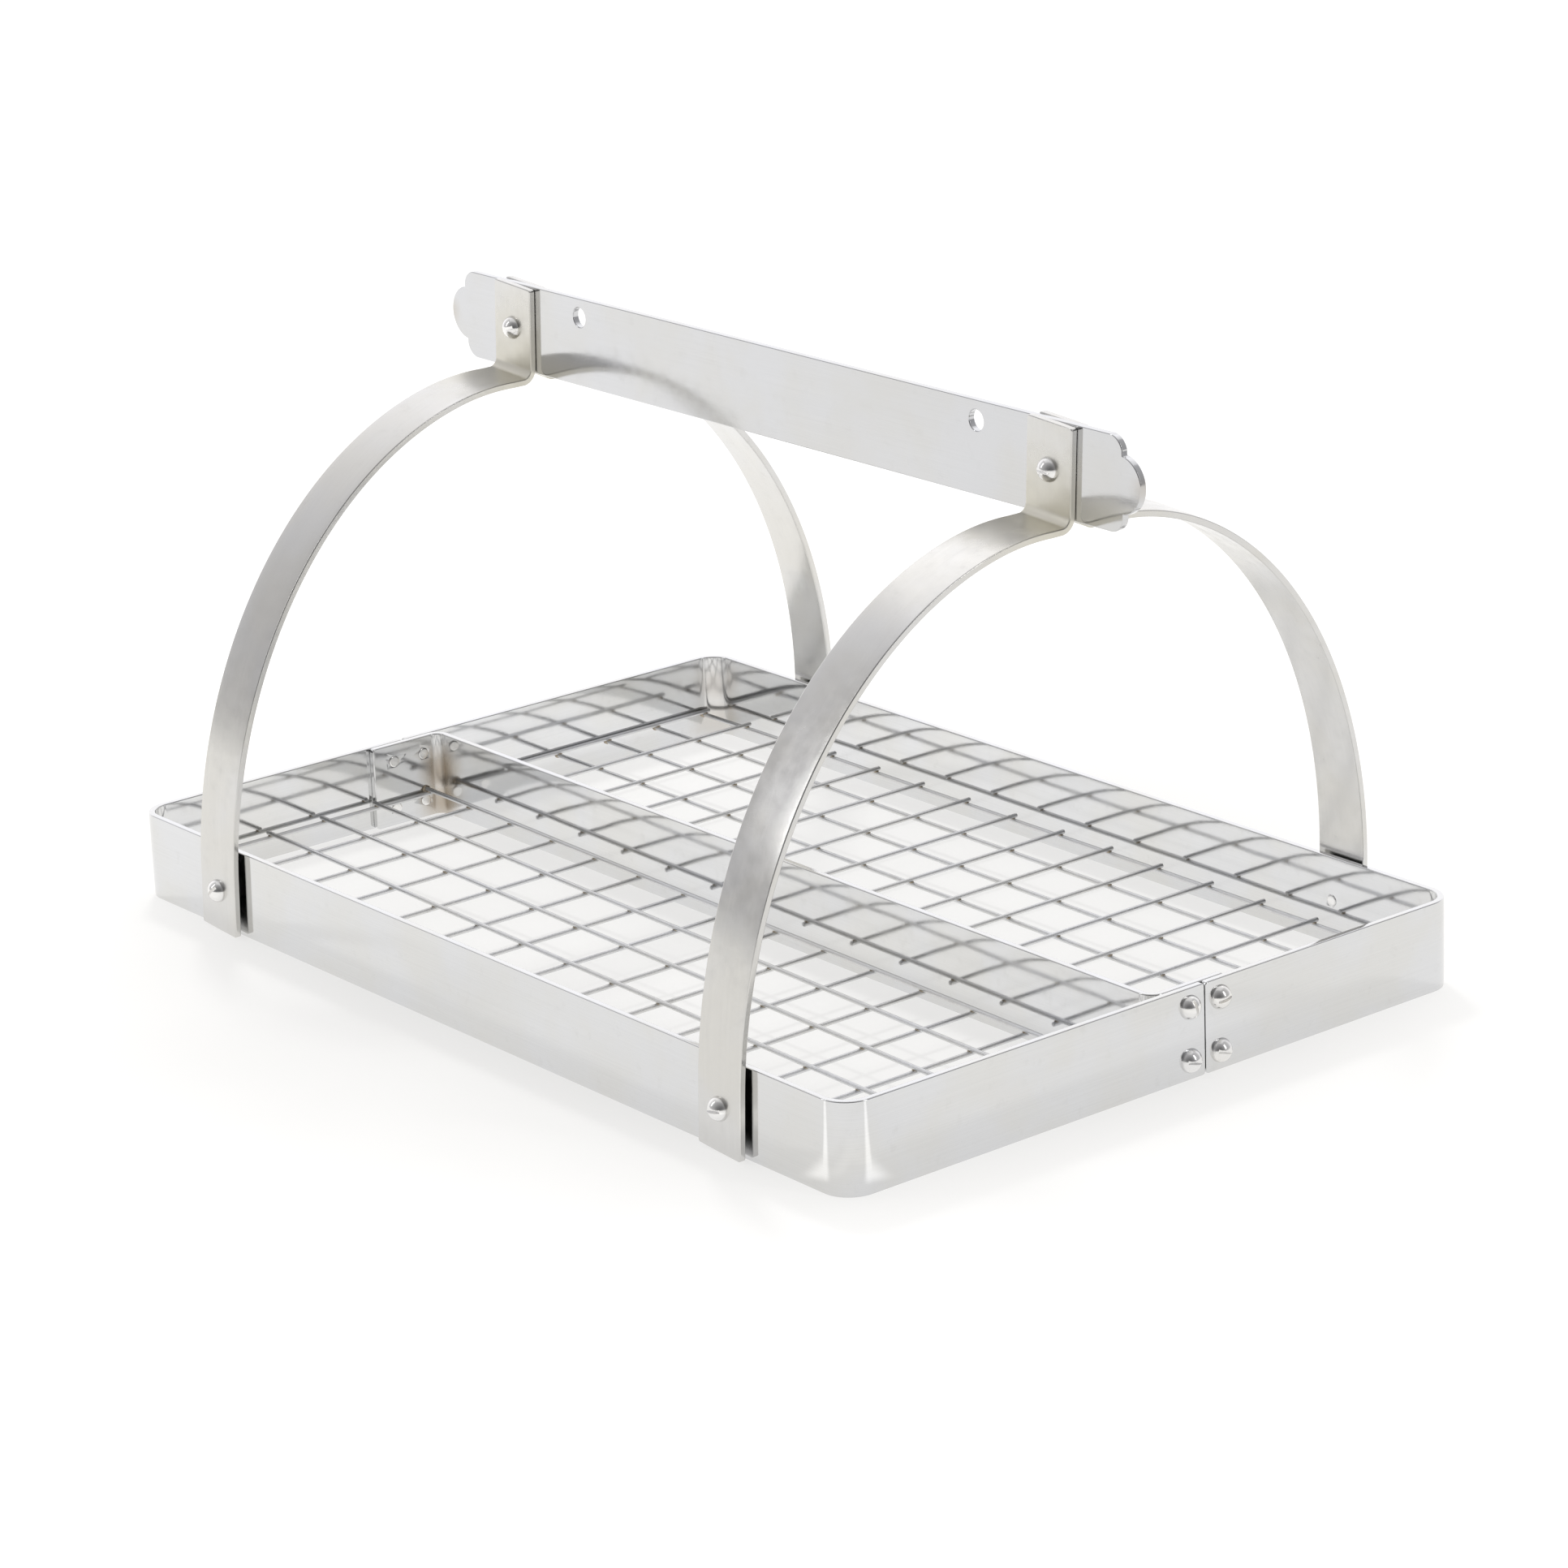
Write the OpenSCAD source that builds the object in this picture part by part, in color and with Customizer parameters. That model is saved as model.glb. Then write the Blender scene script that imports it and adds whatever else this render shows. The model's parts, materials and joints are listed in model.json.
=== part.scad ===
// Hanging rack: a shallow two-bay tray of flat bar with welded wire grids, carried by
// four bowed straps under one flat hanging bar. Every strap turns on a single screw, so
// the straps and the bar swing together as a parallelogram above the tray.
// Origin: centre of the tray's footprint, on the plane of its lower edge. +Z up,
// +X along the tray's long side.

/* [Tray frame] */
// Outside length of the tray
tray_l = 480; // [440:1:520]
// Outside width of the tray
tray_w = 320; // [300:1:340]
// Height of the flat bar that makes the tray and the hanging bar
flat_h = 38; // [36:1:44]
// Thickness of all the flat bar
flat_t = 3; // [2.5:0.1:3.2]
// Outside radius of the tray's four corners
corner_r = 13; // [8:1:20]
// Distance of each butt seam from the middle of its short side
seam_offset = 21; // [19:1:23]
// Opening left between the two halves at a seam
seam_gap = 0.5; // [0.2:0.1:1.2]

/* [Divider] */
// Distance of the divider from the middle of the tray, negative towards the front
divider_shift = -3; // [-4:0.5:0]
// Length of each end flange, from the divider's mid-plane to its tip
flange_l = 37; // [36:0.5:40]
// Inside radius of the divider's two bends
bend_r = 4; // [2:0.5:6]

/* [Wire grids] */
// Wire diameter
wire_d = 2; // [1.8:0.1:2.5]
// Distance between neighbouring long wires; the front one of each grid takes what is left
long_pitch = 28.4; // [27.5:0.1:28.6]
// Number of long wires in each grid
long_count = 6; // [4:1:6]
// Number of cross wires in each grid
cross_count = 16; // [10:1:20]
// How far a wire's end stands past the last wire it crosses
overhang = 2; // [1:0.5:3]
// Distance from a grid's outermost long wires to the flat bars beside them
edge_gap = 8.4; // [8:0.1:9]
// Height of the upper wires' centres in the front grid, halfway along
front_grid_z = 11.2; // [9:0.1:16]
// Height of the upper wires' centres in the back grid
back_grid_z = 12.4; // [9:0.1:16]
// Slope of the front grid, falling towards +X, in degrees
front_grid_tilt = 0.55; // [0:0.05:0.8]
// Depth that crossing wires sink into each other at a weld
weld_sink = 0.1; // [0.05:0.05:0.3]

/* [Bowed straps] */
// Width of the four bowed straps
strap_w = 25.4; // [22:0.1:28]
// Distance between the two foot screws of one long side
foot_spacing = 343; // [300:1:360]
// Height of a foot screw above the tray's lower edge
foot_z = 19; // [17:0.5:21]
// Length of a strap below its foot screw
foot_drop = 18; // [12:0.5:18]
// Length of straight strap above the foot screw
foot_rise = 7; // [4:1:10]
// Height of the bowed stretch
bow_h = 191.2; // [170:0.1:200]
// Depth of the bowed stretch
bow_depth = 150; // [140:1:151]
// Inside radius of the bend under the end tab
tab_bend_r = 3; // [2:0.5:4]
// Lean of the straps at rest, in degrees from upright, positive towards +X
lean = 3.6; // [-20:0.1:20]

/* [Hanging bar] */
// Height of the bar's mid-line above the foot screws when the straps are upright
arm_h = 218.5; // [218:0.1:222]
// Length of the bar over its two round tongues
hang_l = 439; // [420:1:460]
// Radius of the tongue at each end
tongue_r = 11.6; // [9:0.1:13]
// Distance from the tip of a tongue back to its step
tongue_l = 10; // [8:0.5:11]
// Length of the rounded shoulder behind each step
shoulder_l = 7; // [5:0.5:7]
// Radius of the rounded shoulder
shoulder_r = 7.2; // [7:0.1:10]
// Diameter of the two hanging holes
hang_hole_d = 8.5; // [6:0.1:10]
// Distance between the two hanging holes
hang_spacing = 254; // [200:1:280]
// Height of the hanging holes above the bar's mid-line
hang_hole_up = 10.8; // [0:0.1:12]

/* [Fasteners] */
// Thread diameter of every screw
screw_d = 5; // [4:0.5:6]
// Diameter of a screw head
head_d = 10; // [8:0.5:11]
// Height of a screw head
head_h = 4.2; // [2.5:0.1:4.5]
// Width of the driver slot
slot_w = 1.2; // [0.8:0.1:1.6]
// Depth of the driver slot
slot_depth = 1.6; // [0.8:0.1:1.8]
// Distance of each splice screw from its seam
splice_y = 8; // [7:0.5:10]
// Distance of each splice screw from the flat bar's mid-line
splice_z = 11; // [8:0.5:12]
// Outside diameter of the washer behind each foot
washer_d = 10; // [9:0.5:14]
// Thickness of the washer behind each foot
washer_t = 1.5; // [1:0.1:2]
// Width of a nut across its flats
nut_af = 8; // [7:0.5:10]
// Thickness of a nut
nut_t = 4; // [3:0.5:5]
// Screw length that shows past a nut
nut_stick_out = 1.2; // [0:0.1:2]

/* [Clearances] */
// Gap between faces that slide on each other
play = 0.05; // [0.02:0.01:0.1]
// Radial clearance of a hole that turns on its screw
run_clear = 0.1; // [0.05:0.01:0.1]
// Radial clearance of a hole that is held still by its screw
still_clear = 0.05; // [0.02:0.01:0.1]

/* [Hidden] */

$fn = 64;
LEFT = -1;
RIGHT = 1;
FRONT = -1;
BACK = 1;
eps = 0.05;
bow_steps = 40;
bend_steps = 8;

screw_r = screw_d / 2;
foot_x = foot_spacing / 2;
flat_mid = flat_h / 2;

// Tray, seen from above
inner_x = tray_l / 2 - flat_t;
inner_y = tray_w / 2 - flat_t;
divider_bend = bend_r + flat_t / 2;
flange_x = inner_x - flat_t / 2;

// Grids: every long wire runs from a flange of the divider to the far short wall
flange_face_x = inner_x - flat_t;
panel_l = inner_x + flange_face_x + 2 * eps;
panel_x = (inner_x - flange_face_x) / 2;
cross_pitch = (panel_l - 2 * overhang) / (cross_count - 1);
front_span = [edge_gap - inner_y, divider_shift - flat_t / 2 - edge_gap];
back_span = [divider_shift + flat_t / 2 + edge_gap, inner_y - edge_gap];
wire_step = wire_d - weld_sink;

// Bowed strap in its own plane: u is inwards from the tray's wall, v is up from the foot screw
strap_u = -(washer_t + play + flat_t / 2);
tab_u = tray_w / 2 - flat_t - play;
tab_bend = tab_bend_r + flat_t / 2;
shelf_v = foot_rise + bow_h;
tab_top_v = arm_h + flat_mid;
foot_screw_l = washer_t + 2 * play + 2 * flat_t;
bar_screw_l = 3 * flat_t + 2 * play + nut_t + nut_stick_out;

// Hanging bar
hang_half = hang_l / 2;
step_x = hang_half - tongue_l;
shoulder_x = step_x - shoulder_l;

// A quarter of a flat-bar bend, centred on the bend's own centre, from +X round to +Y
module bend_plan(mid_r) {
    intersection() {
        difference() {
            circle(r = mid_r + flat_t / 2);
            circle(r = mid_r - flat_t / 2);
        }
        square(mid_r + flat_t);
    }
}

// A rectangle with round corners, centred
module round_plan(x, y, r) {
    square([x - 2 * r, y], center = true);
    square([x, y - 2 * r], center = true);
    for (sx = [-1, 1], sy = [-1, 1])
        translate([sx * (x / 2 - r), sy * (y / 2 - r)]) circle(r = r);
}

// Splice screw centres on the short wall at side s, in the wall's own Y and Z
function splice_points(s) =
    [for (dy = [-splice_y, splice_y], dz = [-splice_z, splice_z])
        [s * seam_offset + dy, flat_mid + dz]];

// Plain rods along Y through a long wall, at the foot screws of the wall at side s
module foot_holes(s) {
    for (sx = [LEFT, RIGHT])
        translate([sx * foot_x, s * (inner_y - eps), foot_z]) rotate([-90 * s, 0, 0])
            cylinder(r = screw_r + still_clear, h = flat_t + 2 * eps);
}

// Plain rods along X through a short wall and the flange behind it
module splice_holes(s) {
    for (p = splice_points(s))
        translate([s * (flange_face_x - eps), p[0], p[1]]) rotate([0, 90 * s, 0])
            cylinder(r = screw_r + still_clear, h = 2 * flat_t + 2 * eps);
}

// The front half of the tray; the back half is the same piece turned half round
module frame_half() {
    color("silver") difference() {
        linear_extrude(height = flat_h) intersection() {
            difference() {
                round_plan(tray_l, tray_w, corner_r);
                round_plan(2 * inner_x, 2 * inner_y, corner_r - flat_t);
            }
            union() {
                translate([-tray_l / 2, -tray_w / 2])
                    square([tray_l / 2, tray_w / 2 - seam_offset - seam_gap / 2]);
                translate([0, -tray_w / 2])
                    square([tray_l / 2, tray_w / 2 + seam_offset - seam_gap / 2]);
            }
        }
        foot_holes(FRONT);
        splice_holes(LEFT);
        splice_holes(RIGHT);
    }
}

module frame_half_front() { frame_half(); }

module frame_half_back() { rotate(180) frame_half(); }

// One Z-shaped flat bar: a web between the bays and a flange inside each short wall
module divider() {
    color("lightgray") difference() {
        linear_extrude(height = flat_h) translate([0, divider_shift]) {
            square([2 * (flange_x - divider_bend), flat_t], center = true);
            for (s = [LEFT, RIGHT]) rotate(s == LEFT ? 180 : 0) {
                translate([flange_x - divider_bend, divider_bend])
                    rotate(-90) bend_plan(divider_bend);
                translate([flange_x - flat_t / 2, divider_bend])
                    square([flat_t, flange_l - divider_bend]);
            }
        }
        splice_holes(LEFT);
        splice_holes(RIGHT);
    }
}

// Wires along X, stepped forward from the back of the span, with the last at its front
module long_wires(x, span, z) {
    stepped = [for (i = [0 : long_count - 2]) span[1] - i * long_pitch];
    for (y = concat(stepped, [span[0]]))
        translate([x - panel_l / 2, y, z])
            rotate([0, 90, 0]) cylinder(d = wire_d, h = panel_l, $fn = 24);
}

// Wires along Y, their ends standing past the outermost long wires of the span
module cross_wires(x, span, z) {
    for (i = [0 : cross_count - 1])
        translate([x + (i - (cross_count - 1) / 2) * cross_pitch, span[1] + overhang, z])
            rotate([90, 0, 0])
                cylinder(d = wire_d, h = span[1] - span[0] + 2 * overhang, $fn = 24);
}

// In the front grid the long wires lie on top
module front_long_wires() {
    color("gray") translate([0, 0, front_grid_z]) rotate([0, front_grid_tilt, 0])
        long_wires(panel_x, front_span, 0);
}

module front_cross_wires() {
    color("gray") translate([0, 0, front_grid_z]) rotate([0, front_grid_tilt, 0])
        cross_wires(panel_x, front_span, -wire_step);
}

// In the back grid the cross wires lie on top
module back_long_wires() {
    color("gray") long_wires(-panel_x, back_span, back_grid_z - wire_step);
}

module back_cross_wires() {
    color("gray") cross_wires(-panel_x, back_span, back_grid_z);
}

// A slotted round-head screw pointing down from Z = 0, with its head above
module slotted_screw(shank_l, slot_angle) {
    dome_r = (pow(head_d / 2, 2) + pow(head_h, 2)) / (2 * head_h);
    color("gainsboro") difference() {
        union() {
            translate([0, 0, -shank_l]) cylinder(r = screw_r, h = shank_l + eps);
            intersection() {
                translate([0, 0, head_h - dome_r]) sphere(r = dome_r);
                cylinder(r = head_d, h = head_h + 1);
            }
        }
        translate([0, 0, head_h]) rotate(slot_angle)
            cube([head_d + 1, slot_w, 2 * slot_depth], center = true);
    }
}

// Four screws driven inwards through the short wall at side s
module splice_screws(s) {
    turns = [78, 10, 74, 102];
    points = splice_points(s);
    for (i = [0 : len(points) - 1])
        translate([s * tray_l / 2, points[i][0], points[i][1]]) rotate([0, 90 * s, 0])
            slotted_screw(2 * flat_t, turns[i]);
}

module splice_screws_left() { splice_screws(LEFT); }

module splice_screws_right() { splice_screws(RIGHT); }

// Two screws driven inwards through the strap feet on the long side s
module foot_screws(s) {
    turns = [45, 5];
    for (i = [0, 1])
        translate([(2 * i - 1) * foot_x, s * (inner_y + foot_screw_l), foot_z])
            rotate([-90 * s, 0, 0]) slotted_screw(foot_screw_l, turns[i]);
}

module foot_screws_front() { foot_screws(FRONT); }

module foot_screws_back() { foot_screws(BACK); }

// Two washers between the strap feet and the long wall at side s
module foot_washers(s) {
    color("darkgray") for (sx = [LEFT, RIGHT])
        translate([sx * foot_x, s * tray_w / 2, foot_z]) rotate([-90 * s, 0, 0])
            difference() {
                cylinder(d = washer_d, h = washer_t);
                translate([0, 0, -eps])
                    cylinder(r = screw_r + still_clear, h = washer_t + 2 * eps);
            }
}

module foot_washers_front() { foot_washers(FRONT); }

module foot_washers_back() { foot_washers(BACK); }

// Mid-line of a bowed strap: foot, quarter ellipse, level shelf, bend and upright tab
strap_path = concat(
    [[strap_u, -foot_drop]],
    [for (i = [0 : bow_steps]) let (a = 90 * i / bow_steps)
        [strap_u + bow_depth * (1 - cos(a)), foot_rise + bow_h * sin(a)]],
    [for (i = [0 : bend_steps]) let (a = 90 * i / bend_steps)
        [tab_u - tab_bend + tab_bend * sin(a), shelf_v + tab_bend * (1 - cos(a))]],
    [[tab_u, tab_top_v]]);

function unit(v) = v / norm(v);

// Direction of a path at point i, and the offset that keeps both sides parallel to it
function path_dir(p, i) =
    i == 0 ? unit(p[1] - p[0])
    : i == len(p) - 1 ? unit(p[i] - p[i - 1])
    : unit(unit(p[i] - p[i - 1]) + unit(p[i + 1] - p[i]));
function side_point(p, i, off) =
    let (d = path_dir(p, i), j = min(i, len(p) - 2), s = unit(p[j + 1] - p[j]))
    p[i] + [-d[1], d[0]] * off / (d * s);

module strap_profile() {
    last = len(strap_path) - 1;
    polygon(concat(
        [for (i = [0 : last]) side_point(strap_path, i, flat_t / 2)],
        [for (i = [last : -1 : 0]) side_point(strap_path, i, -flat_t / 2)]));
}

// One bowed strap, upright, with its foot screw's axis on the X axis of its own frame
module upright_strap() {
    difference() {
        rotate([90, 0, 90]) linear_extrude(height = strap_w, center = true) strap_profile();
        translate([0, strap_u - flat_t, 0]) rotate([-90, 0, 0])
            cylinder(r = screw_r + run_clear, h = 2 * flat_t);
        translate([0, tab_u - flat_t, arm_h]) rotate([-90, 0, 0])
            cylinder(r = screw_r + still_clear, h = 2 * flat_t);
    }
}

// A strap in its place: sx picks the left or right pair, sy the front or back side
module strap(sx, sy) {
    color("silver") translate([sx * foot_x, sy * tray_w / 2, foot_z]) rotate([0, lean, 0])
        mirror([0, sy == BACK ? 1 : 0, 0]) upright_strap();
}

module strap_left_front() { strap(LEFT, FRONT); }

module strap_left_back() { strap(LEFT, BACK); }

module strap_right_front() { strap(RIGHT, FRONT); }

module strap_right_back() { strap(RIGHT, BACK); }

// Moves a child from the origin to the bar pivot at side sx, turned with the leaning strap
module at_bar_pivot(sx) {
    translate([sx * foot_x, 0, foot_z]) rotate([0, lean, 0]) translate([0, 0, arm_h])
        children();
}

// Half of the stack of two tabs and the bar that a bar screw holds together
stack_half = 1.5 * flat_t + play;

// A screw through both tabs and the bar, with its head in front
module bar_screw(sx, slot_angle) {
    at_bar_pivot(sx) translate([0, -stack_half, 0]) rotate([90, 0, 0])
        slotted_screw(bar_screw_l, slot_angle);
}

module bar_screw_left() { bar_screw(LEFT, 16); }

module bar_screw_right() { bar_screw(RIGHT, -4); }

// A hexagon nut behind the back tab; its thread bites a little into the screw
module bar_nut(sx) {
    color("darkgray") at_bar_pivot(sx) translate([0, stack_half, 0]) rotate([-90, 0, 0])
        difference() {
            cylinder(d = nut_af / cos(30), h = nut_t, $fn = 6);
            translate([0, 0, -eps])
                cylinder(r = screw_r - still_clear, h = nut_t + 2 * eps);
        }
}

module bar_nut_left() { bar_nut(LEFT); }

module bar_nut_right() { bar_nut(RIGHT); }

// The bar's outline without its holes: rounded shoulders cut off at each step, round tongues
module bar_outline() {
    intersection() {
        round_plan(2 * (shoulder_x + shoulder_r), flat_h, shoulder_r);
        square([2 * step_x, flat_h], center = true);
    }
    for (s = [LEFT, RIGHT])
        translate([s * (hang_half - tongue_r), 0]) circle(r = tongue_r);
}

module bar_plan() {
    difference() {
        bar_outline();
        for (s = [LEFT, RIGHT]) {
            translate([s * foot_x, 0]) circle(r = screw_r + run_clear);
            translate([s * hang_spacing / 2, hang_hole_up]) circle(d = hang_hole_d);
        }
    }
}

// The flat bar that the rack hangs from; it stays level when the straps swing
module hanging_bar() {
    color("gainsboro")
        translate([arm_h * sin(lean), flat_t / 2, foot_z + arm_h * cos(lean)])
            rotate([90, 0, 0]) linear_extrude(height = flat_t) bar_plan();
}

frame_half_front();
frame_half_back();
divider();
front_long_wires();
front_cross_wires();
back_long_wires();
back_cross_wires();
splice_screws_left();
splice_screws_right();
foot_screws_front();
foot_screws_back();
foot_washers_front();
foot_washers_back();
strap_left_front();
strap_left_back();
bar_screw_left();
bar_nut_left();
strap_right_front();
strap_right_back();
bar_screw_right();
bar_nut_right();
hanging_bar();
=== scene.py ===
"""Looks of the hanging rack: plated flat bar, welded wire grids, screws, floor, light and camera.

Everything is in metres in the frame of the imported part. Sizes come from the boxes of its nodes and
from its joints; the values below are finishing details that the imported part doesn't hold.
"""

import json
import math
import random

import bmesh
import bpy
from mathutils import Matrix, Vector, noise


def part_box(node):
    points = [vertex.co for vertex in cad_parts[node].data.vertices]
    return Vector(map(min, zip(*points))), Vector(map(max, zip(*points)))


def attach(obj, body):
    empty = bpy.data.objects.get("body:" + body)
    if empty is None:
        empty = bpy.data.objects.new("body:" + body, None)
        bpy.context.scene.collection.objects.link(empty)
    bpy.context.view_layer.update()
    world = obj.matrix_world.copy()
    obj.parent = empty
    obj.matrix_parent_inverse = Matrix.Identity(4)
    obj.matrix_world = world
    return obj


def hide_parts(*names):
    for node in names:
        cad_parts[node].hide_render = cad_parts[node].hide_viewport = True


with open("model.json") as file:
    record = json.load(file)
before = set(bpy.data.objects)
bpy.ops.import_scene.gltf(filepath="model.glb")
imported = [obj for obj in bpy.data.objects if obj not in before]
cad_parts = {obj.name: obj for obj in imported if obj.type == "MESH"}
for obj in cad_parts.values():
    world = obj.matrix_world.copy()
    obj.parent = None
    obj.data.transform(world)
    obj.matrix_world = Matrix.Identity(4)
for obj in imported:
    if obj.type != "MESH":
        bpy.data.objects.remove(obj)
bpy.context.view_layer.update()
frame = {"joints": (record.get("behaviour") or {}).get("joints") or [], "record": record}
MM = 0.001

# ---------------------------------------------------------------- sizes from the frame


def joint_place(name):
    """Pivot of a joint in the row frame."""
    return Vector(next(j for j in frame["joints"] if j["name"] == name)["pos_m"])


def size(node):
    """Lengths of a node's box."""
    low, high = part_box(node)
    return high - low


LEFT, RIGHT = -1, 1
FRONT, BACK = -1, 1
SIDE_NAME = {LEFT: "left", RIGHT: "right"}
FACE_NAME = {FRONT: "front", BACK: "back"}

half_low, half_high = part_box("frame_half_front")
OUTER_X = half_high.x
OUTER_Y = -half_low.y
FLAT_H = half_high.z
FLAT_T = size("hanging_bar").y
SEAM_END = half_high.y
SEAM_GAP = 0.5 * MM
INNER_X = OUTER_X - FLAT_T
INNER_Y = OUTER_Y - FLAT_T

FOOT = joint_place("fold")
FOOT_X = -FOOT.x
LEFT_PIVOT = joint_place("bar_level")
ARM = (LEFT_PIVOT - FOOT).length
LEAN = math.atan2(LEFT_PIVOT.x - FOOT.x, LEFT_PIVOT.z - FOOT.z)
PIVOTS = {LEFT: LEFT_PIVOT, RIGHT: LEFT_PIVOT + Vector((2 * FOOT_X, 0, 0))}

# Flat bar: rounding of its long edges and of the corners of its cut ends, its bends, the depth of
# its slow waves and the stretch they fade over, and how far its faces fall away near the edges
EDGE_R = 0.55 * MM
END_CORNER_R = 1.6 * MM
TRAY_CORNER_R = 13 * MM
DIVIDER_BEND_R = 4 * MM
RIPPLE = 0.05 * MM
RIPPLE_FADE = 12 * MM
CROWN = 0.10 * MM
CROWN_REACH = 9 * MM

# Bowed straps
STRAP_W = 25.4 * MM
FOOT_DROP = 18 * MM
FOOT_RISE = 7 * MM
BOW_H = 191.2 * MM
BOW_DEPTH = 150 * MM
TAB_BEND_R = 3 * MM
SHELF_DIP = 0.7 * MM

# Slow waves of a strap: depth, the flat stretches at its foot and before its tab, and the fade
STRAP_RIPPLE = 1.2 * RIPPLE
FOOT_STILL = 45 * MM
TAB_STILL = 12 * MM
STRAP_FADE = 20 * MM

# Hanging bar
TONGUE_R = 11.6 * MM
TONGUE_L = 10 * MM
SHOULDER_L = 7 * MM
SHOULDER_R = 7.2 * MM
HANG_HOLE_R = 4.25 * MM
PIVOT_HOLE_R = 2.6 * MM

# Wires and welds
LONG_WIRES = 6
LONG_PITCH = 28.4 * MM
CROSS_WIRES = 16
WIRE_BOW = 0.35 * MM
WIRE_SKEW = 0.3 * MM
WELD_R = 1.1 * MM

# Fasteners
THREAD_R = 2.5 * MM
THREAD_PITCH = 0.8 * MM
HEAD_R = 5 * MM
HEAD_H = 4.2 * MM
SLOT_W = 1.2 * MM
SLOT_DEPTH = 1.6 * MM
NUT_FLATS = 8 * MM

# ---------------------------------------------------------------- shader helpers


def node(tree, kind, inputs=None, **settings):
    """Adds a shader node. An input is a value or a socket to link."""
    made = tree.nodes.new("ShaderNode" + kind)
    for key, value in settings.items():
        setattr(made, key, value)
    for key, value in (inputs or {}).items():
        if isinstance(value, bpy.types.NodeSocket):
            tree.links.new(value, made.inputs[key])
        else:
            made.inputs[key].default_value = value
    return made


def maths(tree, operation, a, b=0.0):
    """Result of a maths node."""
    return node(tree, "Math", {0: a, 1: b}, operation=operation).outputs[0]


def remap(tree, value, low, high, to_low=0.0, to_high=1.0, smooth=True):
    """Value from low..high to to_low..to_high, held at both ends."""
    kind = "SMOOTHSTEP" if smooth else "LINEAR"
    inputs = {"Value": value, "From Min": low, "From Max": high, "To Min": to_low, "To Max": to_high}
    return node(tree, "MapRange", inputs, interpolation_type=kind).outputs["Result"]


def blend_colour(tree, share, first, second, mode="MIX"):
    """Colour between first (share 0) and second (share 1)."""
    made = node(tree, "Mix", data_type="RGBA", blend_type=mode)
    sockets = {"Factor": made.inputs[0], "A": made.inputs[6], "B": made.inputs[7]}
    for key, value in (("Factor", share), ("A", first), ("B", second)):
        if isinstance(value, bpy.types.NodeSocket):
            tree.links.new(value, sockets[key])
        else:
            sockets[key].default_value = value
    return made.outputs[2]


def rgb(r, g, b):
    """Opaque colour."""
    return (r, g, b, 1.0)


def speckle(tree, place, scale, detail=2.0, stretch=(1, 1, 1), rough=0.5):
    """Noise value between 0 and 1; stretch scales each axis."""
    moved = node(tree, "Mapping", {"Vector": place, "Scale": stretch}).outputs[0]
    inputs = {"Vector": moved, "Scale": scale, "Detail": detail, "Roughness": rough}
    return node(tree, "TexNoise", inputs).outputs["Fac"]


def near(tree, place, points, radius):
    """1 at any of the points, falling to 0 at radius from it, with an uneven rim."""
    rag = remap(tree, speckle(tree, place, 110, 3), 0.3, 0.7, 0.88, 1.15, smooth=False)
    total = None
    for point in points:
        away = node(tree, "VectorMath", {0: place, 1: point}, operation="DISTANCE").outputs["Value"]
        here = remap(tree, maths(tree, "MULTIPLY", away, rag), 0.0, radius, 1.0, 0.0)
        total = here if total is None else maths(tree, "MAXIMUM", total, here)
    return total


# Plating: share of worn marks and their colour, tint of the slow clouds, depth of the pits in mm,
# and how much rougher a tinted spot is
WEAR = 0.10
WORN = (0.47, 0.46, 0.44)
WARM_CLOUD = (0.99, 0.98, 0.95)
PIT_DEPTH = 0.003
TINT_ROUGH = 0.4


def bumpy(tree, height, depth, strength=1.0, under=None):
    """Surface normal with a bump of a depth in mm, on top of another one if it is given."""
    inputs = {"Strength": strength, "Distance": depth * MM, "Height": height}
    if under is not None:
        inputs["Normal"] = under
    return node(tree, "Bump", inputs).outputs[0]


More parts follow.
